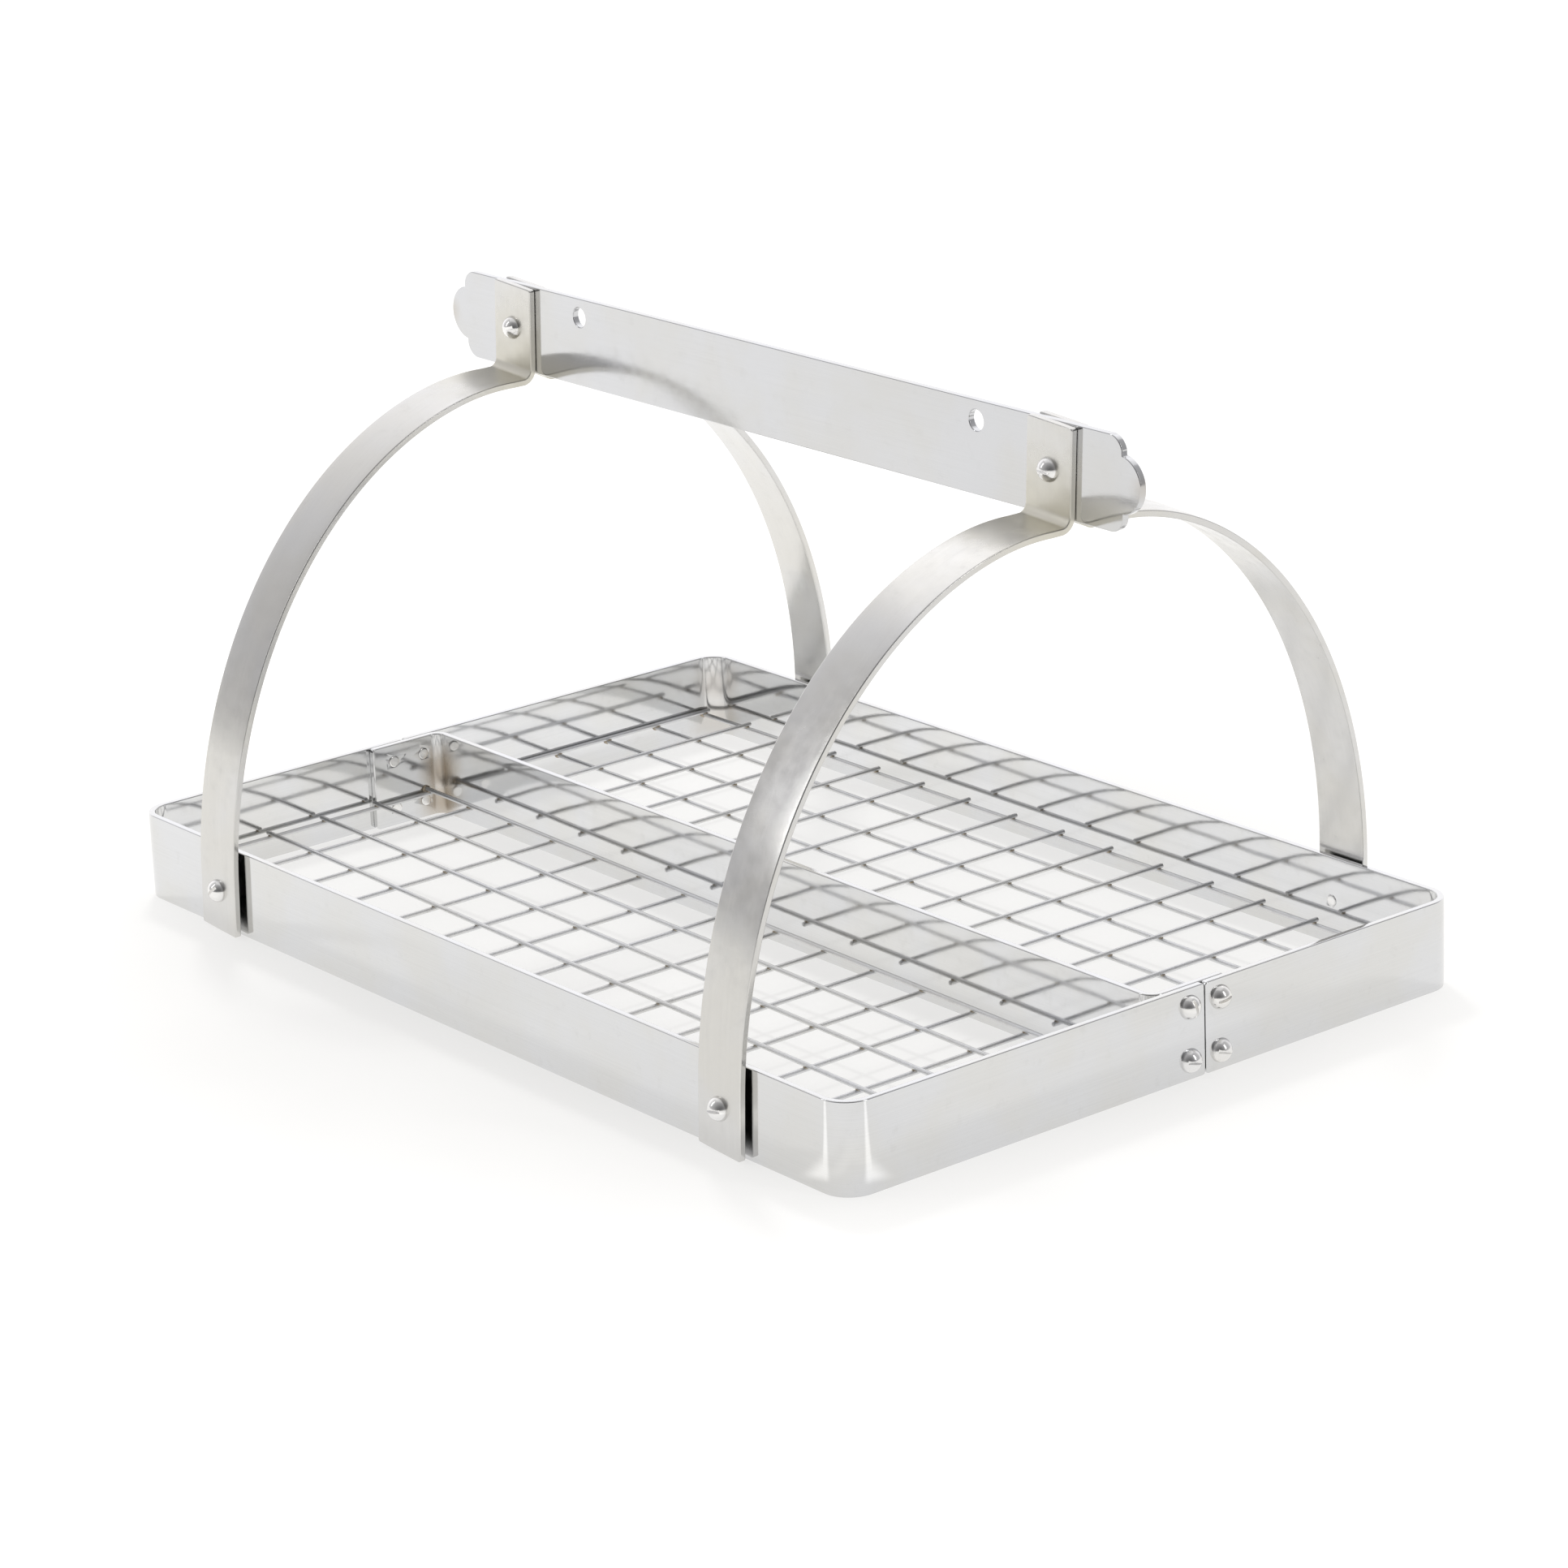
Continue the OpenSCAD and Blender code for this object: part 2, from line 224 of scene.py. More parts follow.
def plating(name, colour, rough, grain, grain_depth=0.006, ripple=0.04, brushed=0.0, tints=(), dull=0.0):
    """Bright plated metal.

    grain scales each axis of the fine brush lines, grain_depth is their depth in mm, ripple is the
    depth in mm of slow waves, brushed is how far highlights stretch across the lines, tints are
    (points, radius, colour, strength), and dull adds to the worn marks.
    """
    material = bpy.data.materials.new(name)
    material.use_nodes = True
    tree = material.node_tree
    tree.nodes.clear()
    place = node(tree, "TexCoord").outputs["Object"]
    clouds = speckle(tree, place, 26, 3)
    marks = speckle(tree, place, 150, 5, rough=0.62)
    lines = speckle(tree, place, 1.0, 3, stretch=grain, rough=0.7)
    waves = speckle(tree, place, 34, 1.0)
    pits = speckle(tree, place, 1400, 2)

    warm = [c * w for c, w in zip(colour, WARM_CLOUD)]
    shade = blend_colour(tree, remap(tree, clouds, 0.35, 0.65), rgb(*colour), rgb(*warm))
    streak = remap(tree, lines, 0.3, 0.7, 0.97, 1.02, smooth=False)
    shade = blend_colour(tree, 0.8, shade, streak, mode="MULTIPLY")
    worn = remap(tree, marks, 0.56, 0.74)
    shade = blend_colour(tree, maths(tree, "MULTIPLY", worn, WEAR + dull), shade, rgb(*WORN))
    finish = remap(tree, marks, 0.35, 0.75, rough * 0.85, rough * 1.25 + 0.02, smooth=False)
    for points, radius, tint, strength in tints:
        share = maths(tree, "MULTIPLY", near(tree, place, points, radius), strength)
        shade = blend_colour(tree, share, shade, rgb(*tint))
        finish = maths(tree, "ADD", finish, maths(tree, "MULTIPLY", share, TINT_ROUGH))

    surface = bumpy(tree, lines, grain_depth)
    surface = bumpy(tree, pits, PIT_DEPTH, 0.5, surface)
    surface = bumpy(tree, waves, ripple, 1.0, surface)
    shader = node(tree, "BsdfPrincipled", {
        "Base Color": shade, "Metallic": 1.0, "Roughness": finish, "Normal": surface})
    if brushed:
        across = Vector((grain[0] > 100, grain[1] > 100, grain[2] > 100)).normalized()
        normal = node(tree, "NewGeometry").outputs["Normal"]
        along = node(tree, "VectorMath", {0: normal, 1: across}, operation="CROSS_PRODUCT").outputs[0]
        shader.inputs["Anisotropic"].default_value = brushed
        tree.links.new(along, shader.inputs["Tangent"])
    output = node(tree, "OutputMaterial")
    tree.links.new(shader.outputs[0], output.inputs["Surface"])
    return material


# ---------------------------------------------------------------- materials

# Directions of the brush lines: slow along the bar, fast across it
ALONG_LEVEL = (14, 14, 2600)
ALONG_STRAP = (2600, 14, 14)
ROUND_ALL = (700, 700, 700)

HEAT = (0.45, 0.36, 0.25)
OLIVE = (0.66, 0.62, 0.48)

divider_low, divider_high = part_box("divider")
DIVIDER_Y = (divider_low.y + divider_high.y) / 2
FLANGE_X = INNER_X - FLAT_T / 2
bend_points = [(s * (INNER_X - FLAT_T), DIVIDER_Y, z * MM) for s in (LEFT, RIGHT) for z in (6, 20)]

far_corner = [(-OUTER_X + 8 * MM, OUTER_Y - 8 * MM, z * MM) for z in (8, 24)]

strap_bends = [
    PIVOTS[s] + Vector((x * MM, f * 9 * MM, -21 * MM))
    for s in (LEFT, RIGHT) for f in (FRONT, BACK) for x in (-8, 4)
]
bar_low, bar_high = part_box("hanging_bar")
bar_ends = [Vector((x, 0, PIVOTS[LEFT].z)) for x in (bar_low.x, bar_high.x)]

# Lit and shaded copies of one plating: the tray's inner faces and the divider are painted darker and
# cooler, as painted shade and a painted reflection of the dim room, and the outer faces brighter and
# warmer, as a painted reflection of the bright table
tray_outer = plating("tray_outer_plating", (0.91, 0.905, 0.885), 0.17, ALONG_LEVEL, 0.004, brushed=0.55)
tray_inner = plating("tray_inner_plating", (0.71, 0.715, 0.725), 0.07, ALONG_LEVEL, 0.002, 0.09,
                     tints=[(far_corner, 15 * MM, HEAT, 0.3)])
divider_metal = plating("divider_plating", (0.71, 0.715, 0.725), 0.08, ALONG_LEVEL, 0.002, 0.12,
                        tints=[(bend_points, 17 * MM, HEAT, 0.75)])
# Lit and shaded copies of one plating: the strap's inner face, under the arch, is painted darker and cooler
# than its outer face, as painted shade
strap_outer = plating("strap_outer_plating", (0.67, 0.665, 0.655), 0.21, ALONG_STRAP, 0.004, brushed=0.5,
                      tints=[(strap_bends, 45 * MM, OLIVE, 0.5)])
strap_inner = plating("strap_inner_plating", (0.60, 0.605, 0.615), 0.10, ALONG_STRAP, 0.003, 0.06,
                      tints=[(strap_bends, 25 * MM, OLIVE, 0.4)])
bar_metal = plating("bar_plating", (0.635, 0.64, 0.655), 0.09, ALONG_LEVEL, 0.002, 0.05,
                    tints=[(bar_ends, 8 * MM, HEAT, 0.25)])
wire_metal = plating("wire_plating", (0.65, 0.655, 0.665), 0.38, ROUND_ALL, 0.004, 0.01, dull=0.1)
weld_metal = plating("weld_heat_tint", (0.40, 0.345, 0.27), 0.38, ROUND_ALL, 0.03, 0.05)
screw_metal = plating("screw_plating", (0.86, 0.855, 0.85), 0.20, ROUND_ALL, 0.002, 0.01)
washer_metal = plating("washer_plating", (0.62, 0.62, 0.62), 0.26, ROUND_ALL, 0.01, 0.01, dull=0.2)

# ---------------------------------------------------------------- mesh helpers


def make_piece(name, mesh, materials, body, nodes=()):
    """Puts a finished mesh in the scene, riding on a body and standing for CAD nodes."""
    piece = bpy.data.objects.new(name, mesh)
    bpy.context.scene.collection.objects.link(piece)
    mesh.materials.clear()
    for material in materials:
        mesh.materials.append(material)
    for polygon in mesh.polygons:
        polygon.use_smooth = True
    even = piece.modifiers.new("even_normals", "WEIGHTED_NORMAL")
    even.keep_sharp = True
    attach(piece, body)
    if nodes:
        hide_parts(*nodes)


def mesh_from(name, verts, faces, sides=None):
    """Closed mesh with outward normals. sides gives each face's material index."""
    mesh = bpy.data.meshes.new(name)
    mesh.from_pydata([tuple(v) for v in verts], [], faces)
    for polygon, side in zip(mesh.polygons, sides or []):
        polygon.material_index = side
    work = bmesh.new()
    work.from_mesh(mesh)
    bmesh.ops.recalc_face_normals(work, faces=work.faces)
    work.to_mesh(mesh)
    work.free()
    return mesh


def joined(name, parts):
    """One mesh out of (mesh, matrix) pairs."""
    work = bmesh.new()
    for mesh, matrix in parts:
        copy = mesh.copy()
        copy.transform(matrix)
        work.from_mesh(copy)
        bpy.data.meshes.remove(copy)
    mesh = bpy.data.meshes.new(name)
    work.to_mesh(mesh)
    work.free()
    return mesh


def with_modifiers(mesh, add):
    """The mesh after the modifiers that add(piece) puts on it."""
    piece = bpy.data.objects.new("work_piece", mesh)
    bpy.context.scene.collection.objects.link(piece)
    add(piece)
    done = bpy.data.meshes.new_from_object(piece.evaluated_get(bpy.context.evaluated_depsgraph_get()))
    bpy.data.objects.remove(piece)
    return done


def cut_away(mesh, cutters):
    """The mesh less each (mesh, matrix) cutter."""
    tool = bpy.data.objects.new("cutter", joined("cutter", cutters))
    bpy.context.scene.collection.objects.link(tool)

    def add(piece):
        cut = piece.modifiers.new("cut", "BOOLEAN")
        cut.operation = "DIFFERENCE"
        cut.solver = "EXACT"
        cut.object = tool

    done = with_modifiers(mesh, add)
    bpy.data.objects.remove(tool)
    return done


def arc(centre, radius, start, end, steps):
    """Points on a circle from start to end, in degrees."""
    angles = [math.radians(start + (end - start) * i / steps) for i in range(steps + 1)]
    return [(centre[0] + radius * math.cos(a), centre[1] + radius * math.sin(a)) for a in angles]


def rounded_path(corners, radius, step=6 * MM, bend_steps=14):
    """Straight runs through the corners, each inner corner rounded to the radius."""
    points = [Vector(c) for c in corners]
    path = [points[0]]

    def run_to(target):
        start = path[-1]
        count = max(1, round((target - start).length / step))
        path.extend(start.lerp(target, i / count) for i in range(1, count + 1))

    for before, corner, after in zip(points, points[1:], points[2:]):
        back, ahead = (before - corner).normalized(), (after - corner).normalized()
        run_to(corner + back * radius)
        centre = corner + (back + ahead) * radius
        for i in range(1, bend_steps + 1):
            a = math.pi / 2 * i / bend_steps
            path.append(centre - ahead * radius * math.cos(a) - back * radius * math.sin(a))
    run_to(points[-1])
    return path


def flat_section(width, thick, radius, cuts):
    """Flat bar's section as (across the thickness, along the width), and a flag for each side.

    Its faces fall away a little towards the edges, as on rolled bar.
    """
    radius = max(radius, 0.01 * MM)
    a, b = thick / 2 - radius, width / 2 - radius
    ring, flags = [], []
    for centre, start, run, count, flag in (
            ((a, b), 0, (-2 * a, 0), 1, 0), ((-a, b), 90, (0, -2 * b), cuts, 1),
            ((-a, -b), 180, (2 * a, 0), 1, 0), ((a, -b), 270, (0, 2 * b), cuts, 0)):
        turn = arc(centre, radius, start, start + 90, 4)
        ring += turn
        flags += [0] * (len(turn) - 1)
        x, y = turn[-1]
        ring += [(x + run[0] * k / count, y + run[1] * k / count) for k in range(1, count)]
        flags += [flag] * count

    def crowned(x, y):
        share = max(0.0, (abs(y) - width / 2 + CROWN_REACH) / CROWN_REACH)
        return x * (1 - CROWN / (thick / 2) * share ** 2), y

    return [crowned(x, y) for x, y in ring], flags


def end_inset(distance, radius):
    """How far a rounded end has drawn in at a distance from its tip."""
    if distance >= radius:
        return 0.0
    return radius * (1 - math.sqrt(1 - (1 - distance / radius) ** 2))


def flat_bar(name, path, place, width, wave, corner=END_CORNER_R, cuts=14):
    """Sweeps flat bar along a plane path, with cuts strips across each face.

    place(a, b, w) turns a point beside the path and a distance along the width into a point in
    space; wave(s, w, total) shifts the faces at a distance along the path.
    """
    path = [Vector(p) for p in path]
    run = [0.0]
    for p, q in zip(path, path[1:]):
        run.append(run[-1] + (q - p).length)
    total = run[-1]

    def at(distance):
        distance = min(max(distance, 0.0), total)
        i = max(k for k in range(len(run) - 1) if run[k] <= distance)
        return path[i].lerp(path[i + 1], (distance - run[i]) / (run[i + 1] - run[i]))

    reach = max(EDGE_R, corner)
    ends = sorted({r * (1 - math.cos(math.radians(a))) for r in (EDGE_R, corner) for a in range(0, 91, 15)})
    between = [s for s in run if reach * 1.2 < s < total - reach * 1.2]
    stations = ends + between + [total - s for s in reversed(ends)]
    verts, faces, sides = [], [], []
    for s in stations:
        here = at(s)
        ahead = (at(s + 0.2 * MM) - at(s - 0.2 * MM)).normalized()
        left = Vector((-ahead.y, ahead.x))
        tip = min(s, total - s)
        inset, trim = end_inset(tip, EDGE_R), end_inset(tip, corner)
        ring, flags = flat_section(width - 2 * (inset + trim), FLAT_T - 2 * inset, EDGE_R - inset, cuts)
        for off, w in ring:
            spot = here + left * (off + wave(s, w, total))
            verts.append(place(spot.x, spot.y, w))
    n = len(flags)
    for i in range(len(stations) - 1):
        for k in range(n):
            m = (k + 1) % n
            faces.append((i * n + k, i * n + m, (i + 1) * n + m, (i + 1) * n + k))
            sides.append(flags[k])
    faces += [tuple(range(n - 1, -1, -1)), tuple(len(verts) - n + k for k in range(n))]
    sides += [0, 0]
    return mesh_from(name, verts, faces, sides)


def ripple_wave(seed, still):
    """Slow waves over a bar's faces, starting after the still stretch at each end."""
    def wave(s, w, total):
        fade = min(1.0, max(0.0, (min(s, total - s) - still) / RIPPLE_FADE))
        return RIPPLE * fade * noise.noise(Vector((s * 38, w * 55, seed)))
    return wave


def lathe(name, profile, steps=56):
    """Solid of revolution about Z from (radius, height) points, first to last on the axis."""
    verts, rings = [], []
    for r, z in profile:
        if r < 1e-7:
            rings.append([len(verts)])
            verts.append((0, 0, z))
        else:
            rings.append(list(range(len(verts), len(verts) + steps)))
            verts += [(x, y, z) for x, y in arc((0, 0), r, 0, 360, steps)[:-1]]
    faces = []
    for a, b in zip(rings, rings[1:]):
        for k in range(steps):
            m = (k + 1) % steps
            quad = [a[k % len(a)], a[m % len(a)], b[m % len(b)], b[k % len(b)]]
            faces.append(tuple(dict.fromkeys(quad)))
    return mesh_from(name, verts, faces)


def ring_lathe(name, profile, steps=72):
    """Ring about Z from a closed (radius or function of the angle, height) profile."""
    verts, faces = [], []
    n = len(profile)
    for k in range(steps):
        angle = 2 * math.pi * k / steps
        for r, z in profile:
            radius = r(angle) if callable(r) else r
            height = z(angle) if callable(z) else z
            verts.append((radius * math.cos(angle), radius * math.sin(angle), height))
    for k in range(steps):
        m = (k + 1) % steps
        for i in range(n):
            j = (i + 1) % n
            faces.append((k * n + i, k * n + j, m * n + j, m * n + i))
    return mesh_from(name, verts, faces)


def pointing(place, direction, turn=0.0):
    """Matrix that puts a local +Z along direction at a place, after a turn about it in degrees."""
    aim = Vector(direction).to_track_quat("Z", "Y").to_matrix().to_4x4()
    return Matrix.Translation(place) @ aim @ Matrix.Rotation(math.radians(turn), 4, "Z")


def box(name, x, y, z):
    """Box centred on the origin, from its half sizes."""
    corners = [(sx * x, sy * y, sz * z) for sx in (-1, 1) for sy in (-1, 1) for sz in (-1, 1)]
    faces = [(0, 1, 3, 2), (4, 6, 7, 5), (0, 4, 5, 1), (2, 3, 7, 6), (0, 2, 6, 4), (1, 5, 7, 3)]
    return mesh_from(name, corners, faces)


def drill(radius, length):
    """Cutter along Z, centred on the origin."""
    h = length / 2
    return lathe("drill", [(0, h), (radius, h), (radius, -h), (0, -h)], 48)


# ---------------------------------------------------------------- tray


def splice_centres(side):
    """Centres of the four splice screws, on the outside of a short wall."""
    low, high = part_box(f"splice_screws_{SIDE_NAME[side]}")
    middle = (low + high) / 2
    dy, dz = (high.y - low.y) / 2 - HEAD_R, (high.z - low.z) / 2 - HEAD_R
    return [Vector((side * OUTER_X, middle.y + y, middle.z + z)) for y in (-dy, dy) for z in (-dz, dz)]


def tray_holes():
    """Cutters for all the screws through the tray's walls and the divider's flanges."""
    splice = drill(THREAD_R + 0.05 * MM, 14 * MM)
    foot = drill(THREAD_R + 0.05 * MM, 10 * MM)
    cutters = [(splice, pointing(p - Vector((s * FLAT_T, 0, 0)), (s, 0, 0)))
               for s in (LEFT, RIGHT) for p in splice_centres(s)]
    middle_y = OUTER_Y - FLAT_T / 2
    cutters += [(foot, pointing((x * FOOT_X, y * middle_y, FOOT.z), (0, 1, 0)))
                for x in (LEFT, RIGHT) for y in (FRONT, BACK)]
    return cutters


def build_tray():
    """Both halves of the tray's wall and the divider between the bays."""
    wall_x, wall_y = OUTER_X - FLAT_T / 2, OUTER_Y - FLAT_T / 2
    path = rounded_path(
        [(-wall_x, -SEAM_END - SEAM_GAP), (-wall_x, -wall_y), (wall_x, -wall_y), (wall_x, SEAM_END)],
        TRAY_CORNER_R - FLAT_T / 2)
    holes = tray_holes()
    for face, seed in ((FRONT, 3.1), (BACK, 8.7)):
        turn = -face

        def place(a, b, w):
            return (turn * a, turn * b, FLAT_H / 2 + w)

        name = f"tray_half_{FACE_NAME[face]}"
        wall = flat_bar(name, path, place, FLAT_H, ripple_wave(seed, 20 * MM))
        wall = cut_away(wall, holes)
        make_piece(name, wall, [tray_inner, tray_outer], "frame",
                   [f"frame_half_{FACE_NAME[face]}"])

    reach = divider_high.y - DIVIDER_Y
    left_end, right_end = (-FLANGE_X, DIVIDER_Y - reach), (FLANGE_X, DIVIDER_Y + reach)
    path = rounded_path([left_end, (-FLANGE_X, DIVIDER_Y), (FLANGE_X, DIVIDER_Y), right_end],
                        DIVIDER_BEND_R + FLAT_T / 2)

    def upright(a, b, w):
        return (a, b, FLAT_H / 2 + w)

    bar = flat_bar("divider_bar", path, upright, FLAT_H, ripple_wave(5.3, 36 * MM))
    make_piece("divider_bar", cut_away(bar, holes), [divider_metal, divider_metal],
               "frame", ["divider"])


# ---------------------------------------------------------------- wire grids


def tube(name, points, radius, sides=14, cut_round=0.35 * MM):
    """Round wire through points that run nearly straight, with softened cut ends."""
    points = [Vector(p) for p in points]
    ahead = (points[-1] - points[0]).normalized()
    side = ahead.cross(Vector((0, 0, 1))).normalized()
    up = side.cross(ahead)
    turns = (math.pi / 2, math.pi / 4, 0.0)

    def tip(end, inwards, a):
        """Ring of a softened end: the cut face at a quarter turn, full size at none."""
        return end + inwards * cut_round * (1 - math.sin(a)), radius - cut_round * (1 - math.cos(a))

    rings = [tip(points[0], ahead, a) for a in turns]
    rings += [(p, radius) for p in points[1:-1]]
    rings += [tip(points[-1], -ahead, a) for a in reversed(turns)]
    verts, faces = [], []
    for centre, r in rings:
        verts += [centre + side * x + up * y for x, y in arc((0, 0), r, 0, 360, sides)[:-1]]
    for i in range(len(rings) - 1):
        for k in range(sides):
            m = (k + 1) % sides
            faces.append((i * sides + k, i * sides + m, (i + 1) * sides + m, (i + 1) * sides + k))
    faces += [tuple(range(sides)), tuple(len(verts) - sides + k for k in range(sides))]
    return mesh_from(name, verts, faces)


def bead(size_xyz, seed):
    """Small uneven blob of weld metal."""
    work = bmesh.new()
    bmesh.ops.create_icosphere(work, subdivisions=2, radius=1.0)
    for v in work.verts:
        lump = 1 + 0.16 * noise.noise(v.co * 1.7 + Vector((seed, 2 * seed, 0)))
        v.co = Vector([c * s * lump for c, s in zip(v.co, size_xyz)])
    mesh = bpy.data.meshes.new("bead")
    work.to_mesh(mesh)
    work.free()
    return mesh


def build_grid(face, seed):
    """The long and cross wires of one bay and the welds between them."""
    chance = random.Random(seed)
    name = FACE_NAME[face]
    long_low, long_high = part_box(f"{name}_long_wires")
    cross_low, cross_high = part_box(f"{name}_cross_wires")
    radius = size("back_long_wires").z / 2

    def level(low, high, x):
        """Height of a layer's centre line, sloping evenly from the left end to the right."""
        share = (x - long_low.x) / (long_high.x - long_low.x)
        warp = 0.22 * MM * math.sin(9 * x + seed) + 0.12 * MM * math.sin(23 * x)
        fade = min(1, 8 * share, 8 * (1 - share))
        return high.z - radius + share * (low.z - high.z + 2 * radius) + warp * fade

    long_y = [long_high.y - radius - LONG_PITCH * i for i in range(LONG_WIRES - 1)]
    long_y.append(long_low.y + radius)
    cross_x = [cross_low.x + radius + (cross_high.x - cross_low.x - 2 * radius) * j / (CROSS_WIRES - 1)
               for j in range(CROSS_WIRES)]
    bow = [chance.uniform(-WIRE_BOW, WIRE_BOW) for _ in long_y]
    skew = [(chance.uniform(-WIRE_SKEW, WIRE_SKEW), chance.uniform(-WIRE_SKEW, WIRE_SKEW))
            for _ in cross_x]

    def long_point(i, x):
        share = (x - long_low.x) / (long_high.x - long_low.x)
        return Vector((x, long_y[i] + bow[i] * math.sin(math.pi * share), level(long_low, long_high, x)))

    def cross_point(j, y):
        share = (y - cross_low.y) / (cross_high.y - cross_low.y)
        x = cross_x[j] + skew[j][0] * (share - 0.5) + skew[j][1] * math.sin(math.pi * share)
        return Vector((x, y, level(cross_low, cross_high, x)))

    def stepped(low, high, steps):
        return [low + (high - low) * k / steps for k in range(steps + 1)]

    long_xs = stepped(long_low.x, long_high.x, 48)
    cross_ys = stepped(cross_low.y, cross_high.y, 16)
    longs = [tube("wire", [long_point(i, x) for x in long_xs], radius) for i in range(LONG_WIRES)]
    crosses = [tube("wire", [cross_point(j, y) for y in cross_ys], radius) for j in range(CROSS_WIRES)]
    for part, meshes in (("long_wires", longs), ("cross_wires", crosses)):
        drawn = f"{name}_{part}_drawn"
        mesh = joined(drawn, [(m, Matrix()) for m in meshes])
        make_piece(drawn, mesh, [wire_metal], "frame", [f"{name}_{part}"])

    beads = []
    for i in range(LONG_WIRES):
        for j in range(CROSS_WIRES):
            upper = long_point(i, cross_x[j])
            lower = cross_point(j, long_y[i])
            spread = WELD_R * chance.uniform(0.85, 1.15)
            blob = bead((spread, spread, 0.75 * MM), i + 7.3 * j + seed)
            beads.append((blob, Matrix.Translation((upper + lower) / 2)))
        for x, inwards in ((long_low.x, 1), (long_high.x, -1)):
            # Where the bay has a flange at this end, the wires beyond it end in the air
            past_flange = abs(long_y[i] - DIVIDER_Y) >= divider_high.y - DIVIDER_Y
            if face * inwards < 0 and past_flange:
                continue
            spot = long_point(i, x) + Vector((inwards * 0.35 * MM, 0, 0))
            tack = bead((0.8 * MM, 1.7 * MM * chance.uniform(0.8, 1.2), 1.45 * MM), 31 * i + x)
            beads.append((tack, Matrix.Translation(spot)))
    welds = f"{name}_grid_welds"
    make_piece(welds, joined(welds, beads), [weld_metal], "frame")


# ---------------------------------------------------------------- fasteners


def round_head_screw(length):
    """Slotted round-head screw: head above Z = 0, threaded shank below, with a softened slot."""
    dome_r = (HEAD_R ** 2 + HEAD_H ** 2) / (2 * HEAD_H)
    centre = HEAD_H - dome_r
    rim = 0.35 * MM
    top_angle = math.degrees(math.asin((rim - centre) / dome_r))
    dome = arc((0, centre), dome_r, 90, top_angle, 14)
    profile = [(0, HEAD_H)] + dome[1:] + [(HEAD_R - 0.06 * MM, 0.2 * MM), (HEAD_R - 0.1 * MM, 0)]
    profile += [(THREAD_R, 0)]
    threaded = min(length - 1 * MM, 3.2 * MM)
    z = -length + threaded
    profile.append((THREAD_R, z))
    while z > -length + THREAD_PITCH * 0.9:
        profile += [(THREAD_R - 0.38 * MM, z - THREAD_PITCH * 0.4), (THREAD_R, z - THREAD_PITCH * 0.85)]
        z -= THREAD_PITCH
    profile += [(THREAD_R - 0.45 * MM, 0.02 * MM - length), (THREAD_R - 0.6 * MM, -length), (0, -length)]
    blank = lathe("screw", profile)
    slot = box("slot", 1.2 * HEAD_R, SLOT_W / 2, SLOT_DEPTH)
    cut = cut_away(blank, [(slot, Matrix.Translation((0, 0, HEAD_H)))])

    def soften(piece):
        bevel = piece.modifiers.new("soften", "BEVEL")
        bevel.width = 0.1 * MM
        bevel.segments = 2
        bevel.limit_method = "ANGLE"
        bevel.angle_limit = math.radians(50)

    return with_modifiers(cut, soften)


def hex_nut(height):
    """Hexagon nut from Z = 0 up, with chamfered corners and a countersunk bore."""
    flats = NUT_FLATS / 2
    bore = THREAD_R - 0.05 * MM

    def hexagon(shrink):
        return lambda a: (flats - shrink) / math.cos((a + math.pi / 6) % (math.pi / 3) - math.pi / 6)

    def drop(a):
        return max(0.0, hexagon(0)(a) - flats * 1.01) * math.tan(math.radians(30))

    soft = 0.15 * MM
    profile = [
        (bore, 0.4 * MM),
        (bore + 0.4 * MM, 0),
        (flats * 0.96, 0),
        (hexagon(soft), lambda a: soft * 0.3 + drop(a)),
        (hexagon(0), lambda a: soft + drop(a)),
        (hexagon(0), lambda a: height - soft - drop(a)),
        (hexagon(soft), lambda a: height - soft * 0.3 - drop(a)),
        (flats * 0.96, height),
        (bore + 0.4 * MM, height),
        (bore, height - 0.4 * MM),
    ]
    return ring_lathe("nut", profile, 120)


def washer(outer, bore, thick):
    """Flat washer from Z = 0 up, with softened edges."""
    soft = 0.18 * MM
    lower = [(bore, soft), (bore + soft, 0), (outer - soft, 0),
             (outer - 0.3 * soft, 0.3 * soft), (outer, soft)]
    upper = [(r, thick - z) for r, z in reversed(lower)]
    return ring_lathe("washer", lower + upper, 64)


# How far each slot and nut is turned in degrees, as the hand left it
SPLICE_TURNS = (-12, 100, -16, 12)
FOOT_TURNS = (45, 5)
BAR_TURNS = {LEFT: 16, RIGHT: -4}
NUT_TURN = 12


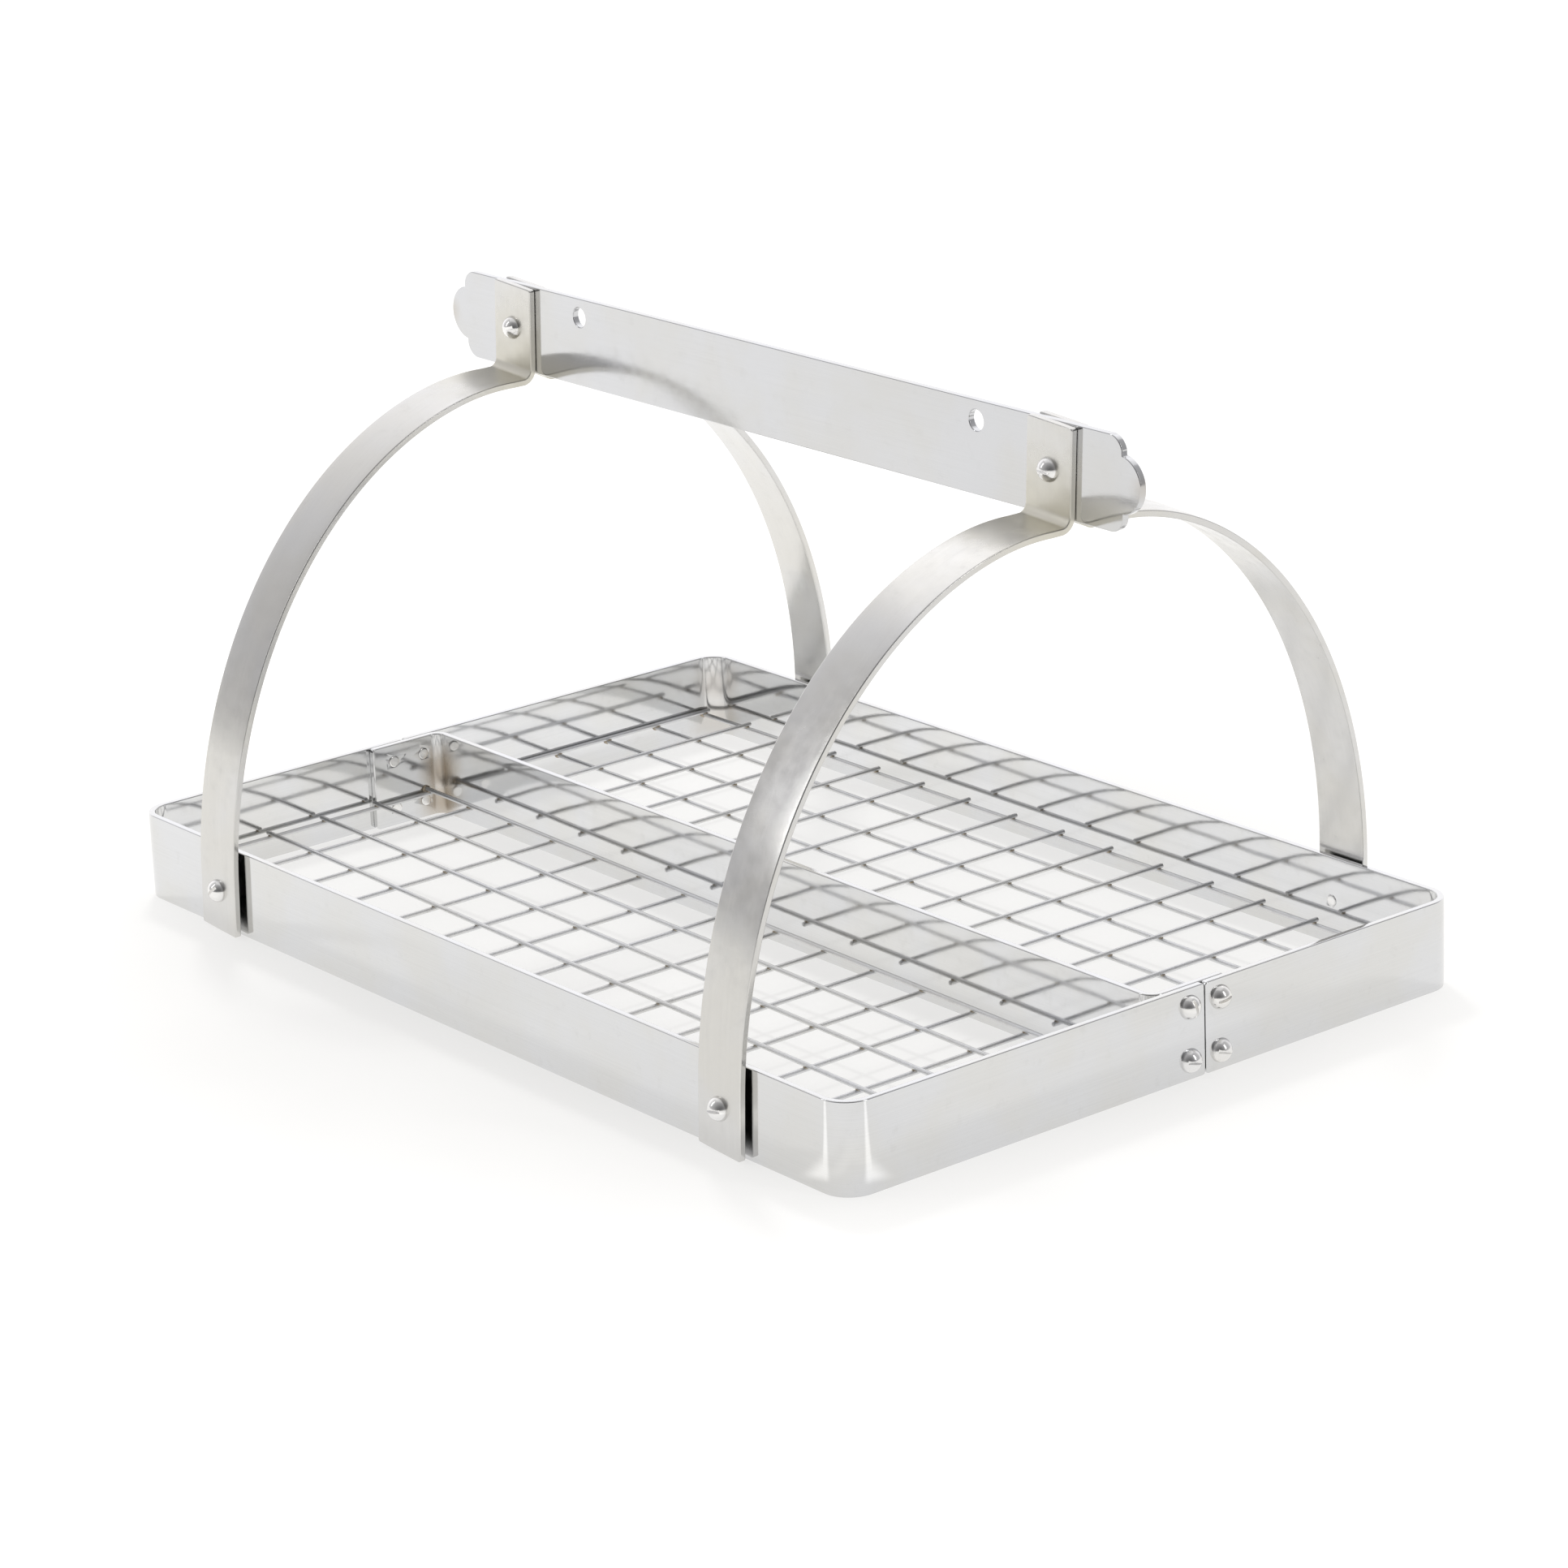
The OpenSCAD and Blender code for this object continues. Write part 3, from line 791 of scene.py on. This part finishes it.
def build_fasteners():
    """Every screw, washer and nut."""
    splice = round_head_screw(2 * FLAT_T + 0.3 * MM)
    for side in (LEFT, RIGHT):
        places = zip(splice_centres(side), SPLICE_TURNS)
        name = f"splice_screws_{SIDE_NAME[side]}"
        mesh = joined(name, [(splice, pointing(p, (side, 0, 0), turn)) for p, turn in places])
        make_piece(f"{name}_turned", mesh, [screw_metal], "frame", [name])

    head_base = -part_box("foot_screws_front")[0].y - HEAD_H
    foot = round_head_screw(head_base - INNER_Y + 0.3 * MM)
    thick = size("foot_washers_front").y
    ring = washer(size("foot_washers_front").z / 2, THREAD_R + 0.05 * MM, thick)
    for face in (FRONT, BACK):
        away = (0, face, 0)
        name = f"foot_screws_{FACE_NAME[face]}"
        mesh = joined(name, [(foot, pointing((x * FOOT_X, face * head_base, FOOT.z), away, turn))
                             for x, turn in zip((LEFT, RIGHT), FOOT_TURNS)])
        make_piece(f"{name}_turned", mesh, [screw_metal], "frame", [name])
        name = f"foot_washers_{FACE_NAME[face]}"
        mesh = joined(name, [(ring, pointing((x * FOOT_X, face * OUTER_Y, FOOT.z), away))
                             for x in (LEFT, RIGHT)])
        make_piece(f"{name}_pressed", mesh, [washer_metal], "frame", [name])

    for side in (LEFT, RIGHT):
        word = SIDE_NAME[side]
        low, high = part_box(f"bar_screw_{word}")
        base = low.y + HEAD_H
        screw = round_head_screw(high.y - base)
        aim = pointing(PIVOTS[side] + Vector((0, base, 0)), (0, -1, 0), BAR_TURNS[side])
        make_piece(f"bar_screw_{word}_turned", joined("screw", [(screw, aim)]), [screw_metal],
                   f"{word}_arch", [f"bar_screw_{word}"])
        low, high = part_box(f"bar_nut_{word}")
        nut = hex_nut(high.y - low.y)
        aim = pointing(PIVOTS[side] + Vector((0, low.y, 0)), (0, 1, 0), NUT_TURN)
        make_piece(f"bar_nut_{word}_chamfered", joined("nut", [(nut, aim)]), [washer_metal],
                   f"{word}_arch", [f"bar_nut_{word}"])


# ---------------------------------------------------------------- straps and hanging bar


def strap_path():
    """Mid-line of a strap: u inwards from the tray's wall, v up from the foot screw."""
    u0 = OUTER_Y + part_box("strap_left_front")[0].y + FLAT_T / 2
    tab_u = OUTER_Y - (bar_high.y - bar_low.y) / 2 - FLAT_T / 2 - 0.05 * MM
    bend = TAB_BEND_R + FLAT_T / 2
    shelf = FOOT_RISE + BOW_H
    path = [(u0, -FOOT_DROP + i * (FOOT_DROP + FOOT_RISE) / 8) for i in range(8)]
    for i in range(91):
        a = math.radians(i)
        u = u0 + BOW_DEPTH * (1 - math.cos(a))
        dip = SHELF_DIP * max(0.0, (u - u0 - 0.8 * BOW_DEPTH) / (0.2 * BOW_DEPTH)) ** 2
        path.append((u, FOOT_RISE + BOW_H * math.sin(a) - dip))
    path += [(x, y - SHELF_DIP * (1 - i / 12)) for i, (x, y) in
             enumerate(arc((tab_u - bend, shelf + bend), bend, -90, 0, 12))]
    top = ARM + FLAT_H / 2
    start = shelf + bend
    path += [(tab_u, start + (top - start) * i / 8) for i in range(1, 9)]
    return path


def build_strap(side, face, seed):
    """One bowed strap from foot to tab, with a hole for each of its two screws."""
    turn = Matrix.Rotation(LEAN, 3, "Y")
    foot = Vector((side * FOOT_X, 0, FOOT.z))
    path = strap_path()
    tab_length = ARM + FLAT_H / 2 - FOOT_RISE - BOW_H

    def place(u, v, w):
        return foot + turn @ Vector((w, 0, v)) + Vector((0, face * (OUTER_Y - u), 0))

    def wave(s, w, total):
        from_foot = (s - FOOT_STILL) / STRAP_FADE
        from_tab = (total - tab_length - TAB_STILL - s) / STRAP_FADE
        fade = max(0.0, min(1.0, from_foot, from_tab))
        return STRAP_RIPPLE * fade * noise.noise(Vector((s * 16, w * 30, seed)))

    name = f"strap_{SIDE_NAME[side]}_{FACE_NAME[face]}"
    mesh = flat_bar(name, path, place, STRAP_W, wave, corner=1.2 * MM, cuts=10)
    away = turn @ Vector((0, 1, 0))
    pin = foot + Vector((0, face * (OUTER_Y - path[0][0]), 0))
    top = PIVOTS[side] + Vector((0, face * (OUTER_Y - path[-1][0]), 0))
    mesh = cut_away(mesh, [(drill(THREAD_R + 0.1 * MM, 8 * MM), pointing(pin, away)),
                           (drill(THREAD_R + 0.05 * MM, 4 * MM), pointing(top, away))])
    make_piece(f"{name}_bowed", mesh, [strap_outer, strap_inner],
               f"{SIDE_NAME[side]}_arch", [name])


def bar_outline():
    """Outline of the hanging bar about its own middle: shoulders, steps and round tongues."""
    half = (bar_high.x - bar_low.x) / 2
    flat = FLAT_H / 2
    step_x = half - TONGUE_L
    shoulder_x = step_x - SHOULDER_L
    tongue_x = half - TONGUE_R
    drop = math.degrees(math.asin(SHOULDER_L / SHOULDER_R))
    upper = arc((shoulder_x, flat - SHOULDER_R), SHOULDER_R, 90, 90 - drop, 14)
    lower = [(x, -y) for x, y in upper]
    meet = math.degrees(math.acos((step_x - tongue_x) / TONGUE_R))
    right = lower + arc((tongue_x, 0), TONGUE_R, -meet, meet, 28) + upper[::-1]
    return right + [(-x, -y) for x, y in right]


def build_bar():
    """Flat hanging bar: stepped round ends, two hanging holes and a hole for each bar screw."""
    middle = Vector(((bar_low.x + bar_high.x) / 2, 0, (bar_low.z + bar_high.z) / 2))
    soft = 0.4 * MM
    curve = bpy.data.curves.new("bar_plate", "CURVE")
    curve.dimensions = "2D"
    curve.fill_mode = "BOTH"
    curve.extrude = FLAT_T / 2 - soft
    curve.bevel_depth = soft
    curve.bevel_resolution = 3
    curve.offset = -soft
    mounts = [m for m in frame["record"]["mounts"] if m["name"].startswith("hanging_hole")]
    holes = [(Vector(m["pos_m"]), HANG_HOLE_R) for m in mounts]
    holes += [(p, PIVOT_HOLE_R) for p in PIVOTS.values()]
    loops = [bar_outline()]
    loops += [arc((p.x - middle.x, p.z - middle.z), r, 360, 0, 48)[:-1] for p, r in holes]
    for loop in loops:
        spline = curve.splines.new("POLY")
        spline.points.add(len(loop) - 1)
        for point, (x, y) in zip(spline.points, loop):
            point.co = (x, y, 0, 1)
        spline.use_cyclic_u = True
    shape = bpy.data.objects.new("bar_plate", curve)
    bpy.context.scene.collection.objects.link(shape)
    mesh = bpy.data.meshes.new_from_object(shape.evaluated_get(bpy.context.evaluated_depsgraph_get()))
    bpy.data.objects.remove(shape)
    work = bmesh.new()
    work.from_mesh(mesh)
    bmesh.ops.remove_doubles(work, verts=work.verts, dist=0.002 * MM)
    bmesh.ops.recalc_face_normals(work, faces=work.faces)
    work.to_mesh(mesh)
    work.free()
    mesh.transform(Matrix.Translation(middle) @ Matrix.Rotation(math.pi / 2, 4, "X"))
    make_piece("hanging_bar_cut", mesh, [bar_metal], "bar", ["hanging_bar"])


# ---------------------------------------------------------------- floor, light and camera

CAMERA_AZIMUTH = math.radians(51.76)
CAMERA_ELEVATION = math.radians(18.47)
CAMERA_ROLL = math.radians(-2.41)
CAMERA_DISTANCE = 2.118
CAMERA_AIM = Vector((0.0118, -0.0010, 0.0703))
CAMERA_LENS = 117.7


def build_camera():
    """Camera that takes in the whole rack; returns the direction from the rack to it."""
    back = Vector((math.sin(CAMERA_AZIMUTH) * math.cos(CAMERA_ELEVATION),
                   -math.cos(CAMERA_AZIMUTH) * math.cos(CAMERA_ELEVATION), math.sin(CAMERA_ELEVATION)))
    data = bpy.data.cameras.new("camera")
    data.sensor_width = 36
    data.lens = CAMERA_LENS
    camera = bpy.data.objects.new("camera", data)
    bpy.context.scene.collection.objects.link(camera)
    camera.matrix_world = (Matrix.Translation(CAMERA_AIM + back * CAMERA_DISTANCE)
                           @ (-back).to_track_quat("-Z", "Y").to_matrix().to_4x4()
                           @ Matrix.Rotation(CAMERA_ROLL, 4, "Z"))
    bpy.context.scene.camera = camera
    return back


# Painted glowing stripes in the table beside the near corner, which the camera doesn't see; the metal
# mirrors them as painted highlight lines in its bend
GLOW_STRIPE_AZIMUTHS = (-26, 106)
GLOW_STRIPE_STRENGTH = 0.34


def painted_glow_stripe(tree, place, azimuth):
    """Glow of a narrow painted stripe in the table that points away from the near corner of the tray; it
    gives painted highlight lines in the corner's bend.
    """
    start = Vector((OUTER_X - TRAY_CORNER_R, TRAY_CORNER_R - OUTER_Y, 0))
    a = math.radians(azimuth)
    out, side = Vector((math.sin(a), -math.cos(a), 0)), Vector((math.cos(a), math.sin(a), 0))
    offset = node(tree, "VectorMath", {0: place, 1: start}, operation="SUBTRACT").outputs[0]
    along = node(tree, "VectorMath", {0: offset, 1: out}, operation="DOT_PRODUCT").outputs["Value"]
    across = node(tree, "VectorMath", {0: offset, 1: side}, operation="DOT_PRODUCT").outputs["Value"]
    reach = remap(tree, along, 20 * MM, 29 * MM, 0.0, GLOW_STRIPE_STRENGTH)
    width = remap(tree, maths(tree, "ABSOLUTE", across), 3 * MM, 12 * MM, 1.0, 0.0)
    return maths(tree, "MULTIPLY", reach, width)


def build_floor(level):
    """White table that glows a little, standing in for an overexposed one; the glow is painted light, as
    the table is no lamp.

    The glow that the metal mirrors grows towards the back, a painted reflection; the glow that the camera
    sees grows away from the rack, so the table is painted dimmer near it as painted shade.
    """
    work = bmesh.new()
    bmesh.ops.create_grid(work, x_segments=8, y_segments=8, size=6.0)
    mesh = bpy.data.meshes.new("floor")
    work.to_mesh(mesh)
    work.free()
    floor = bpy.data.objects.new("floor", mesh)
    bpy.context.scene.collection.objects.link(floor)
    material = bpy.data.materials.new("floor_paper")
    material.use_nodes = True
    tree = material.node_tree
    tree.nodes.clear()
    place = node(tree, "TexCoord").outputs["Object"]
    grey = remap(tree, speckle(tree, place, 5, 4), 0.3, 0.7, 0.28, 0.32, smooth=False)
    surface = bumpy(tree, speckle(tree, place, 60, 5), 0.5, 0.2)
    depth = node(tree, "VectorMath", {0: place, 1: level}, operation="DOT_PRODUCT").outputs["Value"]
    away = node(tree, "VectorMath", {0: place}, operation="LENGTH").outputs["Value"]
    # Painted reflection: the glow that the metal mirrors is brighter towards the back
    mirrored = remap(tree, depth, -0.3, 0.6, 0.76, 0.92)
    # Painted glowing stripes, mirrored as painted highlight lines in the near corner's bend
    for azimuth in GLOW_STRIPE_AZIMUTHS:
        mirrored = maths(tree, "ADD", mirrored, painted_glow_stripe(tree, place, azimuth))
    # Painted shade: the glow that the camera sees is dimmer near the rack
    looked_at = remap(tree, away, 0.15, 0.45, 0.665, 0.88)
    seen = node(tree, "LightPath").outputs["Is Camera Ray"]
    glow = node(tree, "Mix", {"Factor": seen, "A": mirrored, "B": looked_at}).outputs[0]
    shader = node(tree, "BsdfPrincipled", {
        "Base Color": blend_colour(tree, 1.0, rgb(1.0, 0.99, 0.965), grey, mode="MULTIPLY"),
        "Emission Color": rgb(1.0, 0.995, 0.985), "Emission Strength": glow,
        "Specular IOR Level": 0.0, "Roughness": 0.85, "Normal": surface})
    tree.links.new(shader.outputs[0], node(tree, "OutputMaterial").inputs["Surface"])
    mesh.materials.append(material)


# Brightness of the room, from behind the camera (0) round to behind the object (1)
ROOM_STOPS = ((0.0, 0.10), (0.25, 0.36), (0.5, 0.50), (0.6, 0.54), (0.665, 0.70), (0.765, 0.98),
              (0.87, 1.25))


def build_world(level):
    """White backdrop behind the object, dimmer room towards the camera."""
    world = bpy.data.worlds.new("studio")
    bpy.context.scene.world = world
    world.use_nodes = True
    tree = world.node_tree
    tree.nodes.clear()
    way = node(tree, "TexCoord").outputs["Generated"]
    behind = node(tree, "VectorMath", {0: way, 1: level}, operation="DOT_PRODUCT").outputs["Value"]
    ramp = node(tree, "ValToRGB", {"Fac": remap(tree, behind, -1, 1, smooth=False)})
    while len(ramp.color_ramp.elements) < len(ROOM_STOPS):
        ramp.color_ramp.elements.new(0.5)
    for element, (spot, value) in zip(ramp.color_ramp.elements, ROOM_STOPS):
        element.position = spot
        element.color = rgb(value, value * 0.995, value * 1.015)
    seen = node(tree, "LightPath").outputs["Is Camera Ray"]
    colour = blend_colour(tree, seen, ramp.outputs[0], rgb(1.05, 1.05, 1.05))
    sky = node(tree, "Background", {"Color": colour, "Strength": 1.0})
    tree.links.new(sky.outputs[0], node(tree, "OutputWorld").inputs["Surface"])


def area_light(name, place, aim, width, height, watts, mirrored=True):
    """Soft box; mirrored says whether the metal shows its image."""
    data = bpy.data.lights.new(name, "AREA")
    data.shape = "RECTANGLE"
    data.size, data.size_y = width, height
    data.energy = watts
    light = bpy.data.objects.new(name, data)
    bpy.context.scene.collection.objects.link(light)
    light.visible_glossy = mirrored
    light.location = place
    light.rotation_mode = "QUATERNION"
    light.rotation_quaternion = (Vector(aim) - Vector(place)).to_track_quat("-Z", "Y")


def build_stage():
    """Camera, table, backdrop and lights."""
    back = build_camera()
    level = Vector((-back.x, -back.y, 0)).normalized()
    build_floor(level)
    build_world(level)
    area_light("overhead", (-0.2, 0.3, 1.8), (0, 0, 0), 2.2, 2.2, 4)
    area_light("key", (-1.2, 0.7, 1.8), (0, 0, 0), 0.3, 0.3, 14, mirrored=False)
    area_light("front_strip", (-0.9, -1.3, 1.1), (0, 0, 0.1), 0.2, 1.2, 2)
    area_light("right_strip", (1.7, 0.55, 1.0), (0, 0, 0.1), 0.2, 1.2, 3)
    scene = bpy.context.scene
    scene.view_settings.view_transform = "Standard"
    scene.view_settings.look = "None"


# ---------------------------------------------------------------- the whole rack

build_tray()
build_grid(FRONT, 4)
build_grid(BACK, 9)
build_fasteners()
for n, (side, face) in enumerate([(s, f) for s in (LEFT, RIGHT) for f in (FRONT, BACK)]):
    build_strap(side, face, 11.7 + 5.1 * n)
build_bar()
build_stage()
